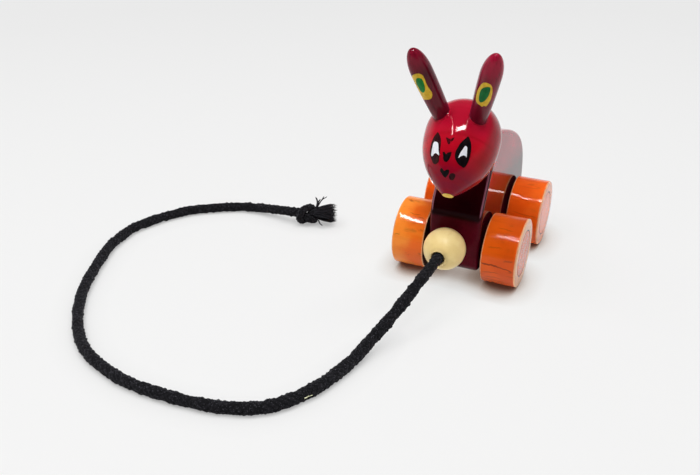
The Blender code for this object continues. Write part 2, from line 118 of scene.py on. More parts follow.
def add_piece(name, mesh, material, matrix=None, sharp=math.radians(40)):
    mesh.shade_smooth()
    mesh.set_sharp_from_angle(angle=sharp)
    if material:
        mesh.materials.append(material)
    obj = bpy.data.objects.new(name, mesh)
    bpy.context.scene.collection.objects.link(obj)
    if matrix:
        obj.matrix_world = matrix
    return obj


def at(place, turn=None):
    """A matrix from a place in millimetres and a rotation."""
    matrix = Matrix.Translation(Vector(place) * MM)
    return matrix @ turn.to_matrix().to_4x4() if turn else matrix


def skin(rings, flip=False):
    """Faces between rings of point numbers; a ring that repeats one number is a tip."""
    faces = []
    for upper, lower in zip(rings, rings[1:]):
        for j in range(len(upper)):
            k = (j + 1) % len(upper)
            loop = [upper[j], lower[j], lower[k], upper[k]]
            if flip:
                loop = loop[:1] + loop[:0:-1]
            face = [v for i, v in enumerate(loop) if v not in loop[:i]]
            if len(face) > 2:
                faces.append(face)
    return faces


def rings_of(first, count, sides):
    """Numbers of the points in rings, counted from the first point."""
    return [list(range(first + i * sides, first + (i + 1) * sides)) for i in range(count)]


def lathe(profile, steps, closed=False):
    """Points and faces of (radius, height) pairs, from the top down, spun round Z."""
    points, rings = [], []
    for radius, height in profile:
        if radius < 1e-6:
            rings.append([len(points)] * steps)
            points.append((0, 0, height))
            continue
        rings += rings_of(len(points), 1, steps)
        for j in range(steps):
            a = math.tau * j / steps
            points.append((radius * math.cos(a), radius * math.sin(a), height))
    return points, skin(rings + rings[:1] if closed else rings)


def arc(centre, radius, start, end, steps):
    angles = [start + (end - start) * i / steps for i in range(steps + 1)]
    return [(centre[0] + radius * math.cos(a), centre[1] + radius * math.sin(a)) for a in angles]


def dress(piece, body, slot, *nodes):
    """Rides a piece on its body, in the place of its CAD nodes."""
    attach(piece, body)
    if nodes:
        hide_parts(*nodes)
    return piece


# Materials


class Graph:
    """Shorthands for the nodes of a material or of the world."""

    def __init__(self, owner, coordinates):
        owner.use_nodes = True
        self.tree = owner.node_tree
        self.place = self.new("TexCoord").outputs[coordinates]

    def new(self, kind, **settings):
        node = self.tree.nodes.new("ShaderNode" + kind)
        for name, value in settings.items():
            setattr(node, name, value)
        return node

    def feed(self, socket, value):
        if isinstance(value, bpy.types.NodeSocket):
            self.tree.links.new(value, socket)
        elif isinstance(value, tuple) and len(socket.default_value) == 4:
            socket.default_value = (*value, 1)
        else:
            socket.default_value = value

    def math(self, operation, first, second=0.0):
        node = self.new("Math", operation=operation)
        self.feed(node.inputs[0], first)
        self.feed(node.inputs[1], second)
        return node.outputs[0]

    def plus(self, first, second):
        return self.math("ADD", first, second)

    def minus(self, first, second):
        return self.math("SUBTRACT", first, second)

    def times(self, first, second):
        return self.math("MULTIPLY", first, second)

    def size(self, value):
        return self.math("ABSOLUTE", value)

    def axis(self, index):
        split = self.new("SeparateXYZ")
        self.feed(split.inputs[0], self.place)
        return split.outputs[index]

    def noise(self, scale, detail=3.0, rough=0.55, offset=0.0):
        """Noise whose scale, one number per axis, is in features per metre."""
        mapping = self.new("Mapping")
        self.feed(mapping.inputs["Vector"], self.place)
        mapping.inputs["Scale"].default_value = scale
        mapping.inputs["Location"].default_value = (offset, offset * 0.7, offset * 1.3)
        node = self.new("TexNoise")
        node.inputs["Scale"].default_value = 1.0
        node.inputs["Detail"].default_value = detail
        node.inputs["Roughness"].default_value = rough
        self.feed(node.inputs["Vector"], mapping.outputs[0])
        return node.outputs["Fac"]

    def fade(self, value, start, end, low=0.0, high=1.0, kind="SMOOTHSTEP"):
        """A step of value, smooth if not said otherwise, from low at start to high at end."""
        node = self.new("MapRange", interpolation_type=kind)
        self.feed(node.inputs["Value"], value)
        for name, number in zip(("From Min", "From Max", "To Min", "To Max"), (start, end, low, high)):
            node.inputs[name].default_value = number
        return node.outputs["Result"]

    def ramp(self, value, stops):
        node = self.new("ValToRGB")
        self.feed(node.inputs[0], value)
        bar = node.color_ramp
        while len(bar.elements) < len(stops):
            bar.elements.new(0.5)
        for element, (position, colour) in zip(bar.elements, stops):
            element.position = position
            element.color = (*colour, 1)
        return node.outputs[0]

    def mix(self, share, first, second):
        node = self.new("Mix", data_type="RGBA")
        self.feed(node.inputs[0], share)
        self.feed(node.inputs[6], first)
        self.feed(node.inputs[7], second)
        return node.outputs[2]


class Shader(Graph):
    """A procedural material round one Principled shader."""

    def __init__(self, name, roughness, ior=1.5, glint=0.2):
        self.material = bpy.data.materials.new(name)
        super().__init__(self.material, "Object")
        self.bsdf = self.tree.nodes["Principled BSDF"]
        self.set("Roughness", roughness)
        self.set("IOR", ior)
        self.set("Specular Tint", uniform(glint))

    def set(self, socket, value):
        self.feed(self.bsdf.inputs[socket], value)

    def bump(self, height, strength, distance, after=None):
        node = self.new("Bump")
        node.inputs["Strength"].default_value = strength
        node.inputs["Distance"].default_value = distance
        self.feed(node.inputs["Height"], height)
        if after:
            self.feed(node.inputs["Normal"], after)
        self.set("Normal", node.outputs[0])
        return node.outputs[0]


def uniform(scale):
    return (scale, scale, scale)


def body_lacquer():
    """Maroon below and in front, crimson on the back; painted shade makes the neck under the head nearly
    black and darkens the lower flanks, and a painted highlight draws a pale pink line on the front side
    edges.
    """
    s = Shader("maroon_lacquer", 0.06, glint=0.07)
    x, y, z = s.axis(0), s.axis(1), s.axis(2)
    cloud = s.noise(uniform(60), 4)
    grain = s.noise((700, 90, 500), 4, offset=3)
    low = s.mix(s.fade(cloud, 0.3, 0.7), (0.064, 0.0017, 0.007), (0.104, 0.0027, 0.012))
    high = s.mix(s.fade(cloud, 0.3, 0.7), (0.330, 0.0045, 0.026), (0.430, 0.0070, 0.038))
    colour = s.mix(s.fade(z, 0.044, 0.064), low, high)
    colour = s.mix(s.fade(grain, 0.45, 0.75, 0, 0.4), colour, (0.050, 0.0016, 0.005))
    ahead = s.new("VectorMath", operation="DOT_PRODUCT")
    s.feed(ahead.inputs[0], s.place)
    ahead.inputs[1].default_value = NECK_OUT
    depth = s.minus(ahead.outputs["Value"], SEAT.dot(NECK_OUT) * MM)
    front = s.fade(depth, -0.0030, -0.0018)
    # Painted shade: the neck face under the head, above about 40 mm, is made nearly black.
    neck = s.times(front, s.fade(s.plus(z, s.times(x, 0.08)), 0.0392, 0.0412, 0, 0.94))
    colour = s.mix(neck, colour, (0.010, 0.0006, 0.0012))
    # Painted shade: the lower part of each flank, beside the wheels, is darkened.
    edge = 0.0138
    flank = s.times(s.fade(s.size(x), edge, edge + 0.0008), s.fade(z, 0.066, 0.048, 0, 0.3))
    colour = s.mix(flank, colour, (0.030, 0.0012, 0.003))
    # Painted highlight: a pale pink line along the rounding of the front side edges.
    ridge = s.fade(s.size(s.minus(s.size(x), edge)), 0.0006, 0.0002)
    crest = s.math("MAXIMUM", s.fade(depth, -0.0018, -0.0010), s.fade(y, -0.0385, -0.0395))
    pale_edge = s.times(s.times(ridge, crest), s.fade(z, 0.028, 0.050, 0.15, 0.7))
    s.set("Base Color", s.mix(pale_edge, colour, (0.420, 0.150, 0.210)))
    s.set("Roughness", s.fade(s.noise(uniform(400), 3, offset=7), 0.3, 0.8, 0.04, 0.1))
    s.bump(s.noise(uniform(120), 2, offset=5), 0.05, 0.0006)
    return s.material


def head_lacquer():
    """Red that darkens to the nose; the crown and the right cheek are darkened as painted shade."""
    s = Shader("red_lacquer", 0.045, ior=1.38, glint=0.4)
    x, y, z = s.axis(0), s.axis(1), s.axis(2)
    along = s.fade(z, -HEAD_BACK * MM, HEAD_LENGTH * MM)
    ring = s.noise((15, 15, 420), 3, offset=2)
    cloud = s.minus(s.noise(uniform(70), 3), 0.5)
    base = s.ramp(
        s.plus(along, s.times(cloud, 0.18)),
        [
            (0.0, (0.390, 0.005, 0.025)),
            (0.45, (0.530, 0.006, 0.030)),
            (0.68, (0.500, 0.004, 0.015)),
            (0.84, (0.370, 0.003, 0.013)),
            (0.95, (0.200, 0.003, 0.018)),
        ],
    )
    base = s.mix(s.fade(ring, 0.5, 0.72, 0, 0.35), base, (0.300, 0.002, 0.008))
    # Painted shade: the crown is darkened.
    base = s.mix(s.fade(y, 0.015, 0.020, 0, 0.35), base, (0.300, 0.004, 0.017))
    # Painted shade: the right cheek is darkened.
    cheek = s.times(s.fade(x, 0.009, 0.015, 0, 0.6), s.fade(z, 0.027, 0.017))
    base = s.mix(s.times(cheek, s.fade(y, 0.015, 0.010)), base, (0.190, 0.002, 0.004))
    spot = s.fade(s.noise(uniform(650), 2, offset=9), 0.66, 0.8, 0, 0.5)
    s.set("Base Color", s.mix(spot, base, (0.200, 0.002, 0.006)))
    s.bump(s.noise((30, 30, 260), 2, offset=4), 0.04, 0.0005)
    return s.material


# Redness at four places along each ear, and the seed of its grain; the tones hold painted shade, darker on
# the left ear near its top, and a painted glow, lighter on the right ear towards its tip
EAR_LIT_AND_SHADED_TONES = {"left": ((0.128, 0.125, 0.070, 0.175), 4), "right": ((0.110, 0.190, 0.200, 0.300), 9)}


def ear_lacquer(side):
    s = Shader("plum_lacquer_" + side, 0.04, ior=1.27, glint=1.0)
    s.set("Sheen Weight", 0.2)
    s.set("Sheen Roughness", 0.35)
    s.set("Sheen Tint", (0.90, 0.08, 0.32))
    # The two ears are lit and shaded copies: their tones hold painted light and shade.
    lit_and_shaded_tones, seed = EAR_LIT_AND_SHADED_TONES[side]
    along = s.fade(s.axis(2), 0, EAR_LENGTH * MM)
    cloud = s.minus(s.noise(uniform(110), 3, offset=seed), 0.5)
    colours = [(tone, 0.0025 + 0.015 * tone, 0.003 + 0.09 * tone) for tone in lit_and_shaded_tones]
    base = s.ramp(s.plus(along, s.times(cloud, 0.25)), list(zip((0.0, 0.5, 0.8, 0.97), colours)))
    grain = s.noise((900, 900, 70), 4, offset=seed + 1)
    s.set("Base Color", s.mix(s.fade(grain, 0.5, 0.75, 0, 0.4), base, (0.050, 0.0015, 0.005)))
    s.bump(s.noise((60, 60, 200), 2, offset=4), 0.05, 0.0005)
    return s.material


# Cracks and grain lines at fixed places: angle and height of both ends, half width, strength
WHEEL_CRACKS = {
    "front_right": (
        (-1.565, 0.4, -1.545, 11.7, 0.75, 0.9), (-1.545, 10.5, -1.47, 18.6, 0.5, 0.7),
        (-1.26, 1.5, -1.33, 11, 0.5, 0.45), (-1.07, 2.5, -1.13, 13, 0.5, 0.4),
        (-1.73, 13, -1.79, 18.6, 0.9, 0.45), (-2.06, 3, -2.09, 11, 0.7, 0.25),
        (-2.66, 6, -2.65, 15, 0.5, 0.3), (-0.95, 9, -0.9, 18, 0.5, 0.4),
    ),
    "front_left": (
        (-0.57, 5, -0.55, 12, 0.45, 0.4), (-1.07, 4.5, -1.12, 13, 3.2, 0.5),
        (-1.25, 14.4, -1.27, 17.8, 0.5, 0.4), (-0.66, 2.2, -0.65, 6.4, 0.45, 0.4),
    ),
    "rear_right": ((-1.89, 4, -1.84, 19, 0.5, 0.25),),
}


def wheel_lacquer(name, width, inner, outer, dark, grain, cracks, smudges, rim, seed):
    """Translucent orange on spindle-turned wood: grain along the axle, pale edges that are partly wear and
    partly a painted highlight, a ring on the face.
    """
    s = Shader("orange_lacquer_" + name, 0.06, glint=0.4)
    x, y, z = s.axis(0), s.axis(1), s.axis(2)
    radius = s.math("SQRT", s.plus(s.times(x, x), s.times(y, y)))
    inset = s.minus(WHEEL_RADIUS * MM, radius)
    far = s.minus(width * MM, z)
    corner = s.math("MAXIMUM", inset, s.math("MINIMUM", z, far))
    cloud = s.minus(s.noise((90, 90, 60), 3, offset=seed), 0.5)
    across = s.plus(s.fade(z, 0.001, 0.018), s.times(cloud, 2.2))
    colour = s.mix(s.fade(across, 0.0, 1.0), inner, outer)
    streak = s.noise((330, 330, 22), 4, offset=seed + 1)
    colour = s.mix(s.fade(streak, 0.5, 0.75, 0, grain), colour, dark)
    line = s.size(s.minus(s.noise((110, 110, 9), 2, offset=seed + 2), 0.5))
    broken = s.fade(s.noise((45, 45, 45), 2, offset=seed + 3), 0.5, 0.62)
    thin = s.times(s.fade(line, 0.009, 0.002), broken)
    colour = s.mix(s.times(thin, cracks), colour, (0.120, 0.016, 0.002))
    angle = s.math("ARCTAN2", y, x)
    wobble = s.times(s.minus(s.noise((60, 60, 260), 3, offset=seed + 6), 0.5), 0.10)
    for start, z_start, end, z_end, half, strength in WHEEL_CRACKS.get(name, ()):
        share = s.math("DIVIDE", s.minus(z, z_start * MM), (z_end - z_start) * MM)
        line = s.plus(s.plus(s.times(share, end - start), start), wobble)
        off = s.times(s.size(s.minus(angle, line)), WHEEL_RADIUS * MM)
        ends = s.times(s.fade(share, -0.1, 0.25), s.fade(share, 1.1, 0.75))
        mark = s.times(s.fade(off, half * MM, 0.1 * half * MM, 0, strength), ends)
        is_stain = half > 1
        if is_stain:
            mark = s.times(mark, s.fade(streak, 0.40, 0.62))
        colour = s.mix(mark, colour, (0.075, 0.012, 0.002))
    dirt = s.fade(s.noise((170, 170, 110), 5, 0.65, offset=seed + 4), 0.58, 0.76, 0, smudges)
    colour = s.mix(dirt, colour, (0.300, 0.060, 0.008))
    turning = s.noise(uniform(1500), 2, offset=seed + 5)
    # Pale edges: worn lacquer, partly a painted highlight on the rounding.
    pale_edge = s.plus(corner, s.times(s.minus(turning, 0.5), 0.0009))
    colour = s.mix(s.fade(pale_edge, 0.0011, 0.0003, 0, 0.85), colour, (0.900, 0.520, 0.260))
    groove = s.minus(radius, RING_RADIUS * MM)
    on_face = s.fade(far, 0.0008, 0.0004)
    outside = s.times(s.fade(groove, 0.0002, 0.0006), on_face)
    colour = s.mix(s.times(outside, rim), colour, (0.850, 0.480, 0.240))
    ring = s.times(s.fade(s.size(groove), 0.0005, 0.0002), on_face)
    s.set("Base Color", s.mix(s.times(ring, 0.85), colour, (0.070, 0.012, 0.006)))
    s.set("Roughness", s.fade(streak, 0.3, 0.8, 0.05, 0.12))
    brushed = s.bump(s.noise((200, 200, 60), 3, offset=seed + 1), 0.16 + 0.3 * cracks, 0.0006)
    s.bump(s.noise((420, 420, 260), 2, offset=seed + 7), 0.5 * cracks, 0.0003, after=brushed)
    return s.material


def gap_shaded_wheel_side():
    """The side that faces the body: matte and nearly black, painted shade of the narrow gap to the body."""
    s = Shader("gap_shaded_wheel_side", 0.9, glint=0.05)
    grain = s.noise((500, 500, 60), 4)
    s.set("Base Color", s.mix(s.fade(grain, 0.35, 0.7), (0.022, 0.006, 0.004), (0.050, 0.014, 0.008)))
    return s.material


def bead_lacquer():
    s = Shader("cream_lacquer", 0.3, glint=0.14)
    cloud = s.noise(uniform(130), 4)
    colour = s.mix(s.fade(cloud, 0.35, 0.7), (0.880, 0.660, 0.280), (0.940, 0.740, 0.340))
    grain = s.noise((500, 60, 300), 4, offset=2)
    colour = s.mix(s.fade(grain, 0.5, 0.75, 0, 0.3), colour, (0.820, 0.590, 0.240))
    dirt = s.fade(s.noise(uniform(420), 4, 0.7, offset=5), 0.62, 0.8, 0, 0.5)
    colour = s.mix(dirt, colour, (0.360, 0.230, 0.080))
    mouth = s.fade(s.size(s.axis(2)), 0.0098, 0.0112, 0, 0.35)
    s.set("Base Color", s.mix(mouth, colour, (0.420, 0.280, 0.110)))
    s.bump(s.noise(uniform(160), 3, offset=6), 0.1, 0.0006)
    return s.material


def bare_wood(name, light, dark):
    s = Shader(name, 0.7, glint=0.1)
    grain = s.noise((60, 800, 800), 4)
    s.set("Base Color", s.mix(s.fade(grain, 0.35, 0.7), dark, light))
    s.bump(grain, 0.2, 0.0003)
    return s.material


def paint(name, colour, second, roughness=0.09):
    """Brushed paint: two tones in uneven strokes."""
    s = Shader(name, roughness, ior=1.3)
    stroke = s.noise((900, 260, 420), 4, 0.6)
    s.set("Base Color", s.mix(s.fade(stroke, 0.35, 0.68), colour, second))
    s.bump(stroke, 0.12, 0.0002)
    return s.material


def cord_cotton():
    s = Shader("black_cotton", 0.95)
    s.set("Sheen Weight", 0.12)
    s.set("Sheen Roughness", 0.5)
    s.set("Sheen Tint", (0.55, 0.55, 0.62))
    relief = s.new("Attribute", attribute_name="relief").outputs["Fac"]
    fleck = s.noise(uniform(1500), 3, 0.6)
    # Painted shade: darker in the braid's hollows, lighter on its ridges.
    colour = s.mix(s.fade(relief, 0.2, 1.0), (0.002, 0.002, 0.003), (0.011, 0.010, 0.013))
    colour = s.mix(s.fade(fleck, 0.58, 0.68, 0, 0.85), colour, (0.070, 0.067, 0.082))
    s.set("Base Color", colour)
    s.bump(s.noise(uniform(2600), 3, 0.65, offset=4), 0.5, 0.0004)
    return s.material


# Cord: the route repeats that of the CAD model


CORD_ROUTE = [
    (-4.9, -87.6, 24.1), (-11.0, -108.0, 14.6), (-17.3, -125.8, 6.8), (-21.0, -141.0, 3.4),
    (-28.5, -165.6, 3.0), (-42.0, -185.2, 3.0), (-62.0, -194.6, 3.0), (-91.0, -198.0, 3.0),
    (-120.0, -195.6, 3.0), (-152.5, -181.0, 3.0), (-181.4, -147.0, 3.0), (-200.4, -103.4, 3.0),
    (-204.8, -82.0, 3.0), (-203.0, -62.6, 3.0), (-187.0, -34.2, 3.0), (-161.0, -15.6, 3.0),
    (-146.0, -11.6, 3.6), (-133.0, -11.8, 5.2), (-122.5, -13.2, 6.9), (-114.8, -12.5, 6.9),
]


def spline(before, start, end, after, t):
    """A point between start and end on a smooth curve through four points."""
    bend = (2 * before - 5 * start + 4 * end - after) * t**2
    twist = (3 * start - 3 * end + after - before) * t**3
    return (2 * start + (end - before) * t + bend + twist) / 2


def smooth_route(points, step):
    """Points at about this spacing on a smooth curve through the given ones."""
    points = [Vector(p) for p in points]
    ends = [2 * points[0] - points[1]] + points + [2 * points[-1] - points[-2]]
    route = [points[0]]
    for before, start, end, after in zip(ends, ends[1:], ends[2:], ends[3:]):
        count = max(1, round((end - start).length / step))
        route += [spline(before, start, end, after, i / count) for i in range(1, count + 1)]
    return route


def cord_route(step):
    inside = [CORD_START_Y, (CORD_START_Y + FRONT_Y) / 2, FRONT_Y]
    inside += [BEAD_Y - AXLES_Y, BEAD_Y - BEAD_HALF - AXLES_Y]
    points = [Vector((PULL_HOLE.x, y, PULL_HOLE.z)) for y in inside]
    points += [Vector(p) for p in CORD_ROUTE]
    return smooth_route([p + Vector((0, AXLES_Y, 0)) for p in points], step)


def frames_along(path):
    """A right-handed, little twisting frame at each point of a path."""
    tangents = [(b - a).normalized() for a, b in zip(path, path[1:])]
    tangents = [tangents[0]] + [(a + b).normalized() for a, b in zip(tangents, tangents[1:])] + [tangents[-1]]
    side = tangents[0].orthogonal().normalized()
    frames = []
    for tangent in tangents:
        side = (side - tangent * side.dot(tangent)).normalized()
        frames.append((side, tangent.cross(side)))
    return frames, tangents


BRAID_STRANDS, BRAID_PITCH, BRAID_DEPTH = 7, 3.1, 0.85
AROUND = 49


def braid_relief(angle, along, cells, rng):
    """Height, from 0 to 1, of an uneven over-and-under braid at a place on the cord."""
    turn = BRAID_STRANDS * angle / math.tau
    first, second = turn + along / BRAID_PITCH, turn - along / BRAID_PITCH
    row, column = math.floor(first), math.floor(second)
    a, b = first - row, second - column
    ridge, length = (a, b) if (row + column) % 2 == 0 else (b, a)
    cell = (row - column, (row + column) % (2 * BRAID_STRANDS))
    if cell not in cells:
        cells[cell] = rng.uniform(0.25, 1.0)
    return cells[cell] * math.sin(math.pi * ridge) ** 0.6 * (0.55 + 0.45 * math.sin(math.pi * length))


def braided_tube(path, radius, wander, rng):
    """Points, faces and relief of a braided tube along a path; radius is a function of the share along it."""
    frames, _ = frames_along(path)
    points, relief, cells = [], [], {}
    walked = 0.0
    waves = [(rng.uniform(7, 30), rng.uniform(0, math.tau), rng.uniform(0.5, 1)) for _ in range(6)]
    for i, (centre, (side, up)) in enumerate(zip(path, frames)):
        walked += (centre - path[i - 1]).length if i else 0
        lump = sum(w * math.sin(math.tau * walked / length + phase) for length, phase, w in waves)
        base = radius(i / (len(path) - 1)) * (1 + wander * lump / 2)
        for j in range(AROUND):
            angle = math.tau * j / AROUND
            height = braid_relief(angle, walked, cells, rng)
            reach = base + BRAID_DEPTH * (height - 0.6) + rng.uniform(-0.12, 0.12)
            point = centre + (side * math.cos(angle) + up * math.sin(angle)) * reach
            point.z = max(point.z, 0.05)
            points.append(point)
            relief.append(height)
    rings = rings_of(0, len(path), AROUND)
    faces = skin(rings, flip=True) + [rings[0][::-1], rings[-1]]
    return points, faces, relief


def add_fibre(points, faces, relief, path, radius):
    """Joins one thin three-sided fibre to a mesh, pointed at its end."""
    frames, _ = frames_along(path)
    start = len(points)
    for i, (centre, (side, up)) in enumerate(zip(path[:-1], frames)):
        thick = radius * (1 - 0.6 * i / len(path))
        for j in range(3):
            a = math.tau * j / 3
            points.append(centre + (side * math.cos(a) + up * math.sin(a)) * thick)
            relief.append(1.0)
    points.append(path[-1])
    relief.append(1.0)
    rings = rings_of(start, len(path) - 1, 3) + [[len(points) - 1] * 3]
    faces.append(rings[0][::-1])
    faces += skin(rings, flip=True)


def soft_mesh(name, points, faces, relief, material):
    obj = add_mesh(name, points, faces, material)
    layer = obj.data.attributes.new("relief", "FLOAT", "POINT")
    layer.data.foreach_set("value", relief)
    return obj


def cord_swell(share):
    """The cord is a little fuller outside the bead, most of all just in front of it."""
    outside = min(1, max(0, 20 * share - 2))
    return 0.15 * outside + 0.25 * min(outside, max(0, 4 - 10 * share))


def make_cord(material):
    rng = random.Random(11)
    path = cord_route(0.5)
    points, faces, relief = braided_tube(path, lambda share: CORD_RADIUS + cord_swell(share), 0.045, rng)
    frames, tangents = frames_along(path)
    outside, loose_fibres = 140, 700  # the first place in front of the bead, and how many
    for _ in range(loose_fibres):
        i = rng.randrange(outside, len(path) - 4)
        side, up = frames[i]
        angle = rng.uniform(0, math.tau)
        out = side * math.cos(angle) + up * math.sin(angle)
        lies_on_floor = path[i].z < 4
        if lies_on_floor and out.z < -0.3:
            continue
        drift = tangents[i] * rng.uniform(-1, 1) + out.cross(tangents[i]) * rng.uniform(-1, 1)
        length = rng.uniform(0.5, 1.3)
        root = path[i] + out * (CORD_RADIUS - 0.25)
        line = []
        for t in (0, 0.35, 0.7, 1):
            line.append(root + (out * (0.75 * t - 0.25 * t * t) + drift * 0.6 * t * t) * length)
        add_fibre(points, faces, relief, line, rng.uniform(0.03, 0.055))
    cord = soft_mesh("braided_cord", points, faces, relief, material)
    length = sum((b - a).length for a, b in zip(path, path[1:])) * MM
    return cord, path, length


END_KNOT = [
    (-117.6, -3.9, 7.2), (-115.3, -4.1, 8.1), (-112.5, -4.0, 7.3), (-110.1, -4.4, 6.6), (-107.7, -5.0, 5.2),
    (-105.6, -3.7, 3.7), (-104.5, -1.6, 3.2), (-104.6, 1.2, 4.0), (-105.8, 2.9, 6.0), (-107.2, 3.0, 8.0),
    (-108.5, 1.2, 9.9), (-109.3, -1.6, 10.6), (-109.8, -4.0, 10.9), (-110.5, -6.7, 10.2),
    (-111.3, -8.2, 7.9), (-111.8, -8.0, 5.5), (-111.8, -6.2, 3.3), (-110.9, -3.6, 2.5), (-109.7, -1.7, 3.5),
    (-108.0, -0.8, 5.6), (-105.8, -1.1, 7.5), (-103.7, -0.6, 8.3), (-101.8, 0.1, 8.4),
]


def make_end_knot(material):
    """A tight overhand knot."""
    rng = random.Random(5)
    path = smooth_route(END_KNOT, 0.4)
    tube = braided_tube(path, lambda share: 2.42, 0.03, rng)
    return soft_mesh("overhand_knot", *tube, material)


YARNS = 260
YARN_SHARES = (0, 0.14, 0.28, 0.42, 0.56, 0.7, 0.85, 1)


def make_tuft(material):
    """The frayed stub: yarns that flare from the knot, and a few stray ends."""
    rng = random.Random(8)
    points, faces, relief = [], [], []
    root, end = Vector((-104.6, -1.0, 7.4)), Vector((-90.9, 2.9, 8.3))
    along = (end - root).normalized()
    side = along.cross(Vector((0, 0, 1))).normalized()
    up = side.cross(along)
    for _ in range(YARNS):
        angle = rng.uniform(0, math.tau)
        spread = rng.uniform(0, 1) ** 0.5
        out = side * math.cos(angle) + up * math.sin(angle)
        across = side * math.sin(angle) - up * math.cos(angle)
        length = (end - root).length * rng.uniform(0.70, 1.06)
        wave, swing = rng.uniform(0, math.tau), rng.uniform(0.1, 0.6)
        line = []
        for t in YARN_SHARES:
            flare = spread * (2.2 + 4.2 * t**0.6)
            sway = across * swing * math.sin(wave + 6 * t) * t
            point = root + along * length * t + out * flare + sway
            point.z = max(point.z, 0.4)
            line.append(point)
        add_fibre(points, faces, relief, line, rng.uniform(0.28, 0.5))
    strays = [
        [(-103.1, -0.6, 11.5), (-102.6, -0.2, 14.4), (-103.2, 0.4, 16.8), (-104.5, 0.8, 18.4)],
        [(-102.8, -0.4, 13.6), (-102.0, 0.0, 15.4), (-101.2, 0.4, 17.0), (-100.5, 0.6, 17.9)],
        [(-103.0, 0.0, 11.5), (-101.4, 1.2, 14.8), (-100.2, 2.0, 17.0), (-99.0, 2.6, 19.4)],
        [(-100.8, 1.6, 16.0), (-99.6, 2.4, 17.4), (-98.2, 3.0, 18.2), (-97.2, 3.4, 19.2)],
        [(-100.4, -3.6, 4.4), (-98.9, -5.0, 3.2), (-97.4, -5.8, 2.8), (-96.0, -6.4, 2.6)],
    ]
    for stray, thick in zip(strays, (0.95, 0.8, 0.6, 0.5, 0.6)):
        add_fibre(points, faces, relief, smooth_route(stray, 0.8), thick)
    return soft_mesh("frayed_end", points, faces, relief, material)


def make_lint():
    """A yellow fibre caught in the braid."""
    spots = ((-27.8, -167.3, 5.6), (-26.6, -165.4, 5.9), (-25.4, -163.6, 5.6))
    points, faces = [], []
    add_fibre(points, faces, [], smooth_route(spots, 0.5), 0.28)
    yellow = paint("lint_yellow", (0.620, 0.640, 0.330), (0.780, 0.780, 0.520), 0.9)
    return add_mesh("yellow_lint", points, faces, yellow)


def make_anchor_knot(material):
    """The knot that stops the cord in its pocket under the body."""
    rng = random.Random(3)
    start = Vector((PULL_HOLE.x, CORD_START_Y + 0.3 + AXLES_Y, PULL_HOLE.z))
    wraps = []
    steps, turns = 60, 2.5
    for i in range(steps + 1):
        t = i / steps
        angle = math.tau * turns * t
        reach = 3.6 * math.sin(math.pi * min(1, t * 1.05)) ** 0.5
        wraps.append(start + Vector((reach * math.cos(angle), 2.6 + 7.6 * t, reach * math.sin(angle))))
    path = smooth_route(wraps, 0.5)
    tube = braided_tube(path, lambda share: 2.5, 0.02, rng)
    return soft_mesh("pocket_knot", *tube, material)


def add_cord():
    cotton = cord_cotton()
    cord, path, length = make_cord(cotton)
    knot, tuft, anchor = make_end_knot(cotton), make_tuft(cotton), make_anchor_knot(cotton)
    dress(cord, TOY, "black_cotton", "pull_cord")
    dress(knot, TOY, "black_cotton", "end_knot")
    dress(tuft, TOY, "black_cotton", "frayed_tuft")
    dress(anchor, TOY, "black_cotton", "anchor_knot")
    dress(make_lint(), TOY, "black_cotton")


# Wheels and bead


def wheel_mesh(width):
    edge = WHEEL_RADIUS - WHEEL_EDGE
    profile = [(0, width), (8, width)]
    profile += [
        (RING_RADIUS - RING_WIDTH / 2, width),
        (RING_RADIUS - RING_FLOOR / 2, width - RING_DEPTH),
        (RING_RADIUS + RING_FLOOR / 2, width - RING_DEPTH),
        (RING_RADIUS + RING_WIDTH / 2, width),
    ]
    profile += arc((edge, width - WHEEL_EDGE), WHEEL_EDGE, math.pi / 2, 0, 10)
    profile += [(WHEEL_RADIUS, WHEEL_EDGE + (width - 2 * WHEEL_EDGE) * i / 8) for i in range(7, 0, -1)]
    profile += arc((edge, WHEEL_EDGE), WHEEL_EDGE, 0, -math.pi / 2, 10)
    profile += [(AXLE_HOLE, 0), (AXLE_HOLE, AXLE_GRIP), (0, AXLE_GRIP)]
    return lathe(profile, 128)


# Colours of the inner side, outer side and grain; shares of grain, cracks, smudges and rim; a seed
WHEEL_LOOKS = {
    "front_left": (
        (0.900, 0.150, 0.010), (1.000, 0.290, 0.034), (0.700, 0.110, 0.008), 0.25, 0.0, 0.75, 0.2, 21,
    ),
    "front_right": (
        (0.820, 0.115, 0.006), (0.720, 0.090, 0.005), (0.480, 0.046, 0.003), 0.35, 0.9, 0.3, 0.7, 33,
    ),
    "rear_right": (
        (0.860, 0.100, 0.006), (0.950, 0.135, 0.010), (0.620, 0.060, 0.004), 0.25, 0.2, 0.15, 0.3, 47,
    ),
    "rear_left": (
        (0.720, 0.076, 0.004), (0.820, 0.100, 0.008), (0.480, 0.044, 0.003), 0.35, 0.4, 0.25, 0.3, 58,
    ),
}


def make_wheels():
    gap_shade = gap_shaded_wheel_side()
    for name, look in WHEEL_LOOKS.items():
        end, side = name.split("_")
        sign = SIDES[side]
        y = AXLES_Y + (-HALF_WHEELBASE if end == "front" else HALF_WHEELBASE)
        inner, width = WHEEL_SIDES[side]
        place = at((sign * inner, y, FLOOR_TO_AXLE), Euler((0, sign * math.pi / 2, 0)))
        lacquer = wheel_lacquer(name, width, *look)
        wheel = add_mesh("turned_" + name + "_wheel", *wheel_mesh(width), lacquer, place)
        # The side against the body and the bore get a nearly black finish: painted shade of the narrow gap.
        wheel.data.materials.append(gap_shade)
        for face in wheel.data.polygons:
            x, y, z = face.center / MM
            in_bore = math.hypot(x, y) < AXLE_HOLE and z < (AXLE_GRIP + width) / 2
            face.material_index = int(in_bore or z < 0.2)
        dress(wheel, end + "_wheelset", "orange_lacquer", name + "_wheel")


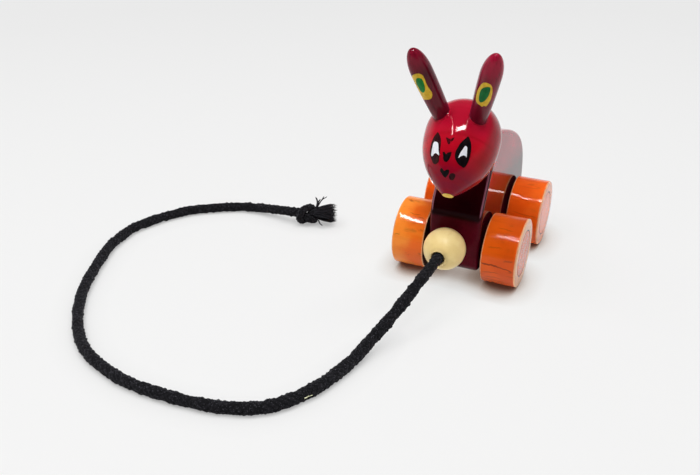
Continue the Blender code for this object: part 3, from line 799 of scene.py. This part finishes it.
def make_bead():
    middle = (HOLE_RADIUS + BEAD_RIM, BEAD_HALF - BEAD_RIM)
    rim = arc(middle, BEAD_RIM, math.pi, math.pi / 2, 6)
    polar = math.atan2(*middle)
    ball = [
        (BEAD_RADIUS * math.sin(a), BEAD_RADIUS * math.cos(a))
        for a in (polar + (math.pi - 2 * polar) * i / 40 for i in range(1, 40))
    ]
    points, faces = lathe(rim + ball + [(r, -z) for r, z in reversed(rim)], 96, closed=True)
    place = at((PULL_HOLE.x, BEAD_Y, PULL_HOLE.z), Euler((math.pi / 2, 0, 0)))
    bead = add_mesh("turned_bead", points, faces, bead_lacquer(), place)
    dress(bead, "bead", "cream_lacquer", "pull_bead")


# Body


def fillet(before, corner, after, radius, steps):
    corner = Vector(corner)
    back = (Vector(before) - corner).normalized()
    on = (Vector(after) - corner).normalized()
    half = back.angle(on) / 2
    middle = corner + (back + on).normalized() * radius / math.sin(half)
    first = corner + back * radius / math.tan(half) - middle
    turn = first.angle_signed(corner + on * radius / math.tan(half) - middle)
    return [tuple(middle + Matrix.Rotation(-turn * i / steps, 2) @ first) for i in range(steps + 1)]


def body_outline():
    """The side view as (Y, Z) points from the axles' middle."""
    toe, sole, tail = (FRONT_Y, SOLE_Z), (38.0, SOLE_Z), (51.4, 9.0)
    chin = (FRONT_Y, CROWN[1] - (CROWN[0] - FRONT_Y) / math.tan(NECK_LEAN))
    toe_radius, chin_radius, crown_radius = 5.0, 20.0, 5.0
    slope, back_reach, tail_reach, haunch_reach = math.radians(16.8), 59.3, 29.6, 11
    fall = Vector((math.cos(slope), -math.sin(slope)))
    crown = Vector(CROWN)
    shoulder = fillet(chin, crown, crown + fall, crown_radius, 10)
    over = (tail[0], tail[1] + tail_reach)
    back = interpolate_bezier(shoulder[-1], crown + fall * back_reach, over, tail, 41)
    under, behind = (tail[0], tail[1] - haunch_reach), (sole[0] + haunch_reach, sole[1])
    haunch = interpolate_bezier(tail, under, behind, sole, 16)
    front = fillet(sole, toe, chin, toe_radius, 10) + fillet(toe, chin, crown, chin_radius, 12) + shoulder
    return front + [tuple(p.to_2d()) for p in back[1:] + haunch[1:]]


def edge_radius(y):
    """The rounding of the side edges, a little larger in front than along the back."""
    share = min(max((-y - EDGE_BLEND_END) / EDGE_BLEND_LENGTH, 0), 1)
    return BACK_EDGE + (FRONT_EDGE - BACK_EDGE) * share


def body_side(sign, y):
    """Where a side of the block stands; the right one is not quite square to the axles."""
    return LEFT_SIDE if sign < 0 else RIGHT_SIDE + RIGHT_SKEW * y


def applied(obj):
    """The object's mesh with its modifiers applied; the object itself is removed."""
    bpy.context.view_layer.update()
    graph = bpy.context.evaluated_depsgraph_get()
    mesh = bpy.data.meshes.new_from_object(obj.evaluated_get(graph))
    bpy.data.objects.remove(obj)
    return mesh


def bore(target, radius, start, end, steps=48):
    """Adds a drilled hole to a piece, as a cutter and its Boolean."""
    start, end = Vector(start), Vector(end)
    points, faces = lathe([(0, 0), (radius, 0), (radius, -1), (0, -1)], steps)
    length = (end - start).length
    points = [(x, y, z * length) for x, y, z in points]
    cutter = add_mesh("cutter", points, faces, None)
    cutter.matrix_world = at(end, (end - start).to_track_quat("Z", "Y"))
    boolean = target.modifiers.new("bore", "BOOLEAN")
    boolean.operation = "DIFFERENCE"
    boolean.solver = "EXACT"
    boolean.object = cutter
    return cutter


def filled(outline, step):
    """Points and triangles that fill a flat outline, with a grid of points inside it."""
    low = [min(p[i] for p in outline) for i in (0, 1)]
    high = [max(p[i] for p in outline) for i in (0, 1)]
    counts = [int((h - l) / step) for l, h in zip(low, high)]
    grid = [
        Vector((low[0] + step * i, low[1] + step * j))
        for i in range(1, counts[0] + 1)
        for j in range(1, counts[1] + 1)
    ]
    made = delaunay_2d_cdt([Vector(p) for p in outline] + grid, [], [list(range(len(outline)))], 1, 1e-5)
    used = sorted({v for face in made[2] for v in face})
    number = {v: i for i, v in enumerate(used)}
    return [made[0][v] for v in used], [[number[v] for v in face] for face in made[2]]


def make_body():
    """The sawn block: its outline over the width, with rounded side edges and drilled holes."""
    outline = [Vector((y + AXLES_Y, z + FLOOR_TO_AXLE)) for y, z in body_outline()]
    count, steps = len(outline), 10
    points, faces, insides = [], [], []
    for i, here in enumerate(outline):
        along = (here - outline[i - 1]).normalized() + (outline[(i + 1) % count] - here).normalized()
        out = Vector((-along.y, along.x)).normalized()
        radius = edge_radius(here.x - AXLES_Y)
        half = []
        for k in range(steps + 1):
            a = math.pi / 2 * k / steps
            y, z = here - out * radius * (1 - math.cos(a))
            half.append((radius * (1 - math.sin(a)), y, z))
        insides.append(half[-1][1:])
        points += [(body_side(-1, y) + x, y, z) for x, y, z in reversed(half)]
        points += [(body_side(1, y) - x, y, z) for x, y, z in half]
    width = 2 * steps + 2
    for i in range(count):
        for j in range(width - 1):
            first, second = i * width + j, (i + 1) % count * width + j
            faces.append((first, second, second + 1, first + 1))
    spots, triangles = filled(insides, 4.0)
    for sign in (-1, 1):
        faces += [[v + len(points) for v in face] for face in triangles]
        points += [(body_side(sign, spot[0]), *spot) for spot in spots]
    block = add_mesh("block", points, faces, None)
    shape = bmesh.new()
    shape.from_mesh(block.data)
    bmesh.ops.remove_doubles(shape, verts=shape.verts, dist=0.002 * MM)
    bmesh.ops.recalc_face_normals(shape, faces=shape.faces)
    shape.to_mesh(block.data)
    shape.free()
    cutters = []
    for y in (-HALF_WHEELBASE + AXLES_Y, HALF_WHEELBASE + AXLES_Y):
        cutters.append(bore(block, AXLE_HOLE, (-40, y, FLOOR_TO_AXLE), (40, y, FLOOR_TO_AXLE)))
    pocket = (PULL_HOLE.x, POCKET_Y)
    cutters.append(bore(block, POCKET_RADIUS, (*pocket, -10), (*pocket, PULL_HOLE.z + POCKET_RADIUS)))
    cutters.append(bore(block, HOLE_RADIUS, (PULL_HOLE.x, -60, PULL_HOLE.z), (*pocket, PULL_HOLE.z)))
    mesh = applied(block)
    for cutter in cutters:
        bpy.data.objects.remove(cutter)
    body = add_piece("sawn_body", mesh, body_lacquer(), sharp=math.radians(35))
    normals = body.modifiers.new("normals", "WEIGHTED_NORMAL")
    normals.keep_sharp = True
    normals.weight = 80
    dress(body, TOY, "maroon_lacquer", "body")


# Head, ears and painted ornament


HEAD_PLACE = at(HEAD_MIDDLE, direction(HEAD_TURN, -HEAD_PITCH).to_track_quat("Z", "Y"))


def head_radius(s):
    if s < 0:
        return HEAD_RADIUS * math.sqrt(max(0, 1 - (s / HEAD_BACK) ** 2))
    return NOSE_RADIUS + (HEAD_RADIUS - NOSE_RADIUS) * (1 - min(1, s / HEAD_LENGTH) ** HEAD_TAPER)


def ear_radius(h):
    if h < EAR_WIDEST:
        return EAR_ROOT + (EAR_RADIUS - EAR_ROOT) * math.sin(max(0, h) / EAR_WIDEST * math.pi / 2)
    return EAR_RADIUS * math.sqrt(max(0, 1 - ((h - EAR_WIDEST) / (EAR_LENGTH - EAR_WIDEST)) ** 2))


def on_turned(radius, angle, along, lift):
    """A point on a turned surface, at an angle from its front, raised along its normal."""
    step = 0.05
    slope = (radius(along + step) - radius(along - step)) / (2 * step)
    out = Vector((math.sin(angle), math.cos(angle), 0))
    normal = (out - Vector((0, 0, slope))).normalized()
    return out * radius(along) + Vector((0, 0, along)) + normal * lift


def closed_curve(points, steps):
    """A smooth closed outline through some points."""
    count = len(points)
    outline = []
    for i in range(count):
        four = [Vector(points[(i + k) % count]) for k in (-1, 0, 1, 2)]
        outline += [spline(*four, j / steps) for j in range(steps)]
    return outline


def paint_patch(name, outline, radius, flip, lift, material, place, slot):
    """A thin coat of paint on a turned piece; the outline is in degrees round it and millimetres along it."""
    edge = closed_curve(outline, 5)
    width = sum(radius(p[1]) for p in edge) / len(edge)
    spots, faces = filled([(math.radians(p[0]) * width, p[1]) for p in edge], 0.6)
    points = []
    for height in (lift, -0.12):
        for spot in spots:
            point = on_turned(radius, spot.x / width, spot.y, height)
            points.append((point.x, -point.y, point.z) if flip else tuple(point))
    if not flip:
        faces = [f[::-1] for f in faces]
    count = len(spots)
    rim = dict.fromkeys((a, b) for face in faces for a, b in zip(face, face[1:] + face[:1]))
    border = [(a, b) for a, b in rim if (b, a) not in rim]
    faces = faces + [[v + count for v in reversed(f)] for f in faces]
    faces += [[b, a, a + count, b + count] for a, b in border]
    patch = add_mesh(name, points, faces, material, place)
    return dress(patch, TOY, slot)


FACE = {
    "left_eye": [
        (-28.8, 8.7), (-24.6, 10.3), (-21.4, 12.4), (-20.3, 14.6), (-21.1, 17.2), (-21.9, 19.3),
        (-23.7, 21.5), (-25.6, 23.0), (-31.3, 23.7), (-36, 23.8), (-41.6, 23.2), (-43.5, 22.0),
        (-45.4, 20.2), (-45.6, 18.5), (-44.1, 16.6), (-41.5, 14.7), (-39, 12.8), (-35.4, 10.9),
        (-31.7, 9.5),
    ],
    "left_eye_white": [
        (-34, 13.6), (-30.1, 13.7), (-26.1, 14.5), (-25, 16.4), (-24.8, 18.0), (-23.8, 20.2), (-27.6, 19.6),
        (-30.5, 19.1), (-34.3, 19.2), (-38, 19.8), (-40.8, 20.1), (-42.7, 19.5), (-41, 18.3), (-38.4, 16.5),
        (-36.7, 15.0),
    ],
    "right_eye": [
        (19.7, 9.5), (23.6, 10.7), (27.4, 12.5), (30.1, 14.6), (31.9, 16.7), (33.6, 19.1), (34.3, 21.0),
        (34.1, 22.7), (31.2, 23.8), (26.5, 23.7), (19, 23.3), (13.4, 22.4), (8.7, 21.1), (6.8, 19.6),
        (6.9, 17.8), (8.8, 16.0), (10.8, 14.1), (13.8, 12.3), (16.8, 10.8),
    ],
    "right_eye_white": [
        (20.5, 14.4), (23.4, 15.0), (25.2, 16.7), (27.9, 19.1), (26, 18.9), (22.2, 18.8), (19.3, 19.2),
        (16.4, 19.9), (14.4, 20.6), (14.5, 19.3), (15.5, 17.8), (17.5, 16.2), (18.5, 15.1),
    ],
    "upper_heart": [
        (-12.7, 12.0), (-10.7, 11.9), (-7.7, 12.4), (-5.8, 12.4), (-4.8, 13.4), (-4.7, 14.7), (-6.6, 15.3),
        (-8.6, 14.8), (-10.6, 13.7),
    ],
    "upper_heart_stroke": [
        (-3.8, 13.8), (-4.8, 12.9), (-2.8, 12.0), (0.1, 11.5), (0.1, 12.0), (-0.9, 13.1),
    ],
    "middle_heart": [
        (-16.2, 18.9), (-12.3, 18.9), (-9.5, 19.8), (-6.6, 19.0), (-2.7, 18.7), (0.1, 18.7), (0.1, 19.7),
        (-0.9, 21.2), (-3.8, 22.4), (-7.6, 23.2), (-12.4, 22.9), (-15.2, 21.9), (-15.2, 20.5), (-16.2, 19.7),
    ],
    "lower_heart": [
        (-23, 25.9), (-19.2, 25.7), (-15.5, 26.3), (-12.7, 26.8), (-8.8, 26.4), (-4.1, 26.1), (0.6, 26.4),
        (0.4, 27.7), (-3.6, 28.7), (-9.5, 29.4), (-16.9, 28.8), (-21.4, 27.8), (-25, 26.9),
    ],
    "cheek_dot": [
        (4.2, 27.7), (10, 27.2), (17.5, 27.4), (20.3, 27.9), (20, 29.1), (16, 29.9), (7.5, 29.9), (2, 29.2),
        (2.2, 28.4),
    ],
}
EAR_SPOTS = {
    "left": (
        [
            (-38, 32.3), (-10.3, 33.7), (11.7, 33.5), (22.3, 32.1), (24.7, 29.8), (22.7, 26.6), (24.8, 23.3),
            (29, 20.3), (23.3, 18.3), (11.5, 16.8), (-9.9, 16.4), (-44.5, 16.2), (-60.5, 19.3), (-60.9, 24.1),
            (-58, 28.6),
        ],
        [
            (-20.8, 30.1), (-4.4, 31.3), (9.5, 30.5), (13, 28.4), (8.9, 25.4), (0.8, 22.8), (-12.6, 21.4),
            (-24.8, 21.9), (-30.6, 24.5), (-31.4, 27.2),
        ],
    ),
    "right": (
        [
            (-7.8, 30.6), (12.4, 31.0), (31, 29.5), (43.1, 25.5), (48, 20.8), (45.1, 17.3), (35.8, 14.4),
            (22.2, 14.8), (14.1, 13.8), (1.9, 14.4), (-16.1, 14.8), (-30, 16.1), (-36.4, 19.0), (-36.1, 22.6),
            (-27.7, 26.3), (-19.9, 28.9),
        ],
        [
            (-9.7, 26.4), (7.5, 28.4), (26, 28.5), (30.4, 25.7), (29.8, 22.1), (20.7, 19.0), (7.6, 17.0),
            (-5.5, 16.7), (-13.8, 18.6), (-17.2, 21.9), (-15.5, 24.5),
        ],
    ),
}
FACE_PAINT = {"left_eye": "dark", "upper_heart": "brown", "upper_heart_stroke": "brown", "cheek_dot": "dark"}


def make_head():
    lacquer = head_lacquer()
    front = [math.sin(math.pi / 2 * i / 48) for i in range(48, 0, -1)]
    profile = [(0, HEAD_LENGTH)] + [(head_radius(HEAD_LENGTH * t), HEAD_LENGTH * t) for t in front]
    for i in range(40):
        angle = math.pi / 2 * i / 40
        profile.append((HEAD_RADIUS * math.cos(angle), -HEAD_BACK * math.sin(angle)))
    points, faces = lathe(profile + [(0, -HEAD_BACK)], 128)
    head = add_mesh("turned_head", points, faces, lacquer)
    shape = bmesh.new()
    shape.from_mesh(head.data)
    inverse = HEAD_PLACE.inverted()
    cut_at = inverse @ ((SEAT + NECK_OUT * 0.3) * MM)
    normal = inverse.to_3x3() @ NECK_OUT
    everything = shape.verts[:] + shape.edges[:] + shape.faces[:]
    cut = bmesh.ops.bisect_plane(shape, geom=everything, plane_co=cut_at, plane_no=normal, clear_inner=True)
    edges = [e for e in cut["geom_cut"] if isinstance(e, bmesh.types.BMEdge)]
    bmesh.ops.edgeloop_fill(shape, edges=edges)
    shape.to_mesh(head.data)
    shape.free()
    head.data.set_sharp_from_angle(angle=math.radians(40))
    head.matrix_world = HEAD_PLACE
    dress(head, TOY, "red_lacquer", "head")

    dab = [(0, 0.06), (2.5, 0.06), (2.85, 0), (3.1, -0.2), (2.6, -0.4), (0, -0.4)]
    points, faces = lathe([(radius, HEAD_LENGTH + height) for radius, height in dab], 48)
    points = [(x, 0.78 * y - 0.6, z) for x, y, z in points]
    yellow = paint("nose_yellow", (0.800, 0.530, 0.090), (0.900, 0.620, 0.140))
    dress(add_mesh("painted_nose", points, faces, yellow, HEAD_PLACE), TOY, "red_lacquer")

    colours = {
        "black": paint("black_paint", (0.004, 0.003, 0.004), (0.010, 0.006, 0.007)),
        "dark": paint("dark_brown_paint", (0.022, 0.004, 0.007), (0.036, 0.010, 0.009)),
        "brown": paint("brown_paint", (0.024, 0.003, 0.005), (0.060, 0.005, 0.008)),
        "white": paint("white_paint", (0.760, 0.770, 0.830), (0.860, 0.860, 0.890)),
    }
    for name, outline in FACE.items():
        white = name.endswith("white")
        tone = "white" if white else FACE_PAINT.get(name, "black")
        lift = 0.09 if white else 0.05
        paint_patch(name, outline, head_radius, False, lift, colours[tone], HEAD_PLACE, "red_lacquer")
    return lacquer


def ear_place(side):
    sign = SIDES[side]
    root = HEAD_MIDDLE + Vector((sign * EAR_GAP / 2, EAR_AHEAD, EAR_UP + sign * EAR_STEP / 2))
    return at(root, Euler((EAR_LEAN, sign * EAR_SPLAY, 0)))


def ear_collar(side, material):
    """The thin bead of lacquer where an ear enters the head."""
    to_head = HEAD_PLACE.inverted() @ ear_place(side)
    steps, sides, thick, gap = 72, 10, 0.42, 0.12
    ring = []
    for j in range(steps):
        angle = math.tau * j / steps
        wall = Vector((math.cos(angle), math.sin(angle), 0)) * (EAR_ROOT + gap)
        low, high = -7.0, 9.0
        for _ in range(40):
            middle = (low + high) / 2
            x, y, z = to_head @ ((wall + Vector((0, 0, middle))) * MM) / MM
            low, high = (middle, high) if math.hypot(x, y) < head_radius(z) else (low, middle)
        ring.append(wall + Vector((0, 0, low)))
    points = []
    for j, centre in enumerate(ring):
        along = (ring[(j + 1) % steps] - ring[j - 1]).normalized()
        out = Vector((centre.x, centre.y, 0)).normalized()
        up = along.cross(out).normalized()
        for k in range(sides):
            a = math.tau * k / sides
            points.append(centre + (out * math.cos(a) + up * math.sin(a)) * thick)
    rings = rings_of(0, steps, sides)
    return add_mesh(side + "_ear_collar", points, skin(rings + rings[:1]), material, ear_place(side))


def make_ears(head_material):
    yellow = paint("ear_yellow", (0.640, 0.400, 0.026), (0.740, 0.480, 0.040))
    greens = {
        "left": paint("left_ear_green", (0.008, 0.165, 0.028), (0.016, 0.230, 0.040)),
        "right": paint("right_ear_green", (0.002, 0.100, 0.022), (0.004, 0.145, 0.030)),
    }
    tip = []
    for i in range(36):
        angle = math.pi / 2 * i / 36
        tip.append((EAR_RADIUS * math.sin(angle), EAR_WIDEST + (EAR_LENGTH - EAR_WIDEST) * math.cos(angle)))
    shaft = [(ear_radius(EAR_WIDEST * i / 24), EAR_WIDEST * i / 24) for i in range(24, -1, -1)]
    profile = tip + shaft + [(EAR_ROOT, -EAR_SOCKET), (0, -EAR_SOCKET)]
    for side in SIDES:
        place = ear_place(side)
        ear = add_mesh("turned_" + side + "_ear", *lathe(profile, 72), ear_lacquer(side), place)
        dress(ear, TOY, "plum_lacquer", side + "_ear")
        spots = zip(("_ear_spot", "_ear_spot_middle"), EAR_SPOTS[side], (0.05, 0.10), (yellow, greens[side]))
        for name, outline, lift, colour in spots:
            paint_patch(side + name, outline, ear_radius, True, lift, colour, place, "plum_lacquer")
        dress(ear_collar(side, head_material), TOY, "red_lacquer")


# Studio


def add_area(name, place, turn, size, power):
    """A lamp that shines down, turned by some degrees round the vertical."""
    data = bpy.data.lights.new(name, "AREA")
    data.shape = "RECTANGLE"
    data.size, data.size_y = size
    data.energy = power
    lamp = bpy.data.objects.new(name, data)
    lamp.location = place
    lamp.rotation_euler.z = math.radians(turn)
    bpy.context.scene.collection.objects.link(lamp)
    return lamp


def add_card(name, points, colour):
    """A flat sheet of the studio, and its shader."""
    mesh = bpy.data.meshes.new(name)
    mesh.from_pydata(points, [], [tuple(range(len(points)))])
    shader = Shader(name, 0.9)
    shader.set("Base Color", colour)
    mesh.materials.append(shader.material)
    card = bpy.data.objects.new(name, mesh)
    bpy.context.scene.collection.objects.link(card)
    return card, shader


def make_floor():
    """A pale sheet; part of its tone is its own, for camera, glossy and transmission rays alone, and that
    part holds painted contact shadows: warm brown with painted bounce light near the body and wheels, faint
    and grey farther out round the cord.
    """
    reach = 6.0
    ground = [(-reach, -reach, 0), (reach, -reach, 0), (reach, reach, 0), (-reach, reach, 0)]
    _, s = add_card("floor", ground, (0.82, 0.82, 0.81))
    rays = s.new("LightPath").outputs
    seen = s.math("MAXIMUM", rays["Is Camera Ray"], rays["Is Glossy Ray"])
    seen = s.math("MAXIMUM", seen, rays["Is Transmission Ray"])
    length = s.new("VectorMath", operation="LENGTH")
    s.feed(length.inputs[0], s.place)
    away = length.outputs["Value"]
    # Painted contact shadow: ambient occlusion darkens the floor's own glow, warm brown as painted bounce
    # light from the toy.
    near = s.new("AmbientOcclusion")
    near.inputs["Distance"].default_value = 0.014
    painted_warm_shadow = s.ramp(
        near.outputs["AO"],
        [
            (0.22, (0.070, 0.022, 0.012)),
            (0.46, (0.350, 0.265, 0.215)),
            (0.70, (0.735, 0.710, 0.685)),
            (1.0, (0.881, 0.889, 0.885)),
        ],
    )
    grey = s.new("RGBToBW")
    s.feed(grey.inputs[0], painted_warm_shadow)
    # A fainter grey painted shadow, used away from the body round the cord.
    painted_faint_shadow = s.plus(s.times(grey.outputs[0], 0.5), 0.444)
    glow = s.new("Emission")
    s.feed(glow.inputs["Color"], s.mix(s.fade(away, 0.07, 0.09, kind="LINEAR"), painted_warm_shadow, painted_faint_shadow))
    blend = s.new("MixShader")
    s.feed(blend.inputs[0], s.times(seen, s.fade(away, 0.7, 1.6, 0.82, 1.0, kind="LINEAR")))
    s.feed(blend.inputs[1], s.bsdf.outputs[0])
    s.feed(blend.inputs[2], glow.outputs[0])
    s.feed(s.tree.nodes["Material Output"].inputs["Surface"], blend.outputs[0])


def make_world():
    """A room with pale walls under a dark ceiling."""
    world = bpy.data.worlds.new("studio")
    graph = Graph(world, "Generated")
    back = graph.tree.nodes["Background"]
    graph.feed(back.inputs["Color"], (0.98, 0.99, 1.0))
    graph.feed(back.inputs["Strength"], graph.fade(graph.axis(2), 0.08, 0.40, 0.90, 0.15))
    bpy.context.scene.world = world


def make_studio():
    make_floor()
    make_world()
    behind = [(-1.6, -1.3, 0.02), (1.6, -1.3, 0.02), (1.6, -0.9, 1.0), (-1.6, -0.9, 1.0)]
    flag, _ = add_card("flag", behind, (0.02, 0.02, 0.02))
    flag.visible_camera = False
    wide = add_area("strip_wide", (0.10, -0.28, 0.85), 21, (0.40, 0.10), 13.0)
    narrow = add_area("strip_narrow", (-0.305, -0.35, 0.85), 8, (0.03, 0.33), 3.3)
    short = add_area("strip_short", (-0.142, -0.34, 0.85), 5, (0.018, 0.14), 0.8)
    wide.visible_diffuse = narrow.visible_diffuse = short.visible_diffuse = False
    left = add_area("key_left", (-0.50, -0.40, 0.95), 0, (0.5, 0.5), 6.6)
    right = add_area("key_right", (0.16, -0.42, 0.95), 0, (0.5, 0.4), 4.9)
    top = add_area("key_top", (0.18, 0.22, 0.95), 0, (0.22, 0.22), 3.2)
    left.visible_glossy = right.visible_glossy = top.visible_glossy = False
    bpy.context.scene.view_settings.view_transform = "Standard"


make_camera()
add_cord()
make_wheels()
make_bead()
make_body()
red = make_head()
make_ears(red)
# The axles are dark brown: painted shade of the gaps beside the wheels, where they show.
shaded_axle = bare_wood("shaded_axle_wood", (0.060, 0.022, 0.010), (0.030, 0.010, 0.005))
plain = bare_wood("bare_wood", (0.780, 0.580, 0.350), (0.620, 0.420, 0.220))
for node, wood in (("front_axle", shaded_axle), ("rear_axle", shaded_axle), ("neck_dowel", plain)):
    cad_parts[node].data.materials.clear()
    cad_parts[node].data.materials.append(wood)
make_studio()
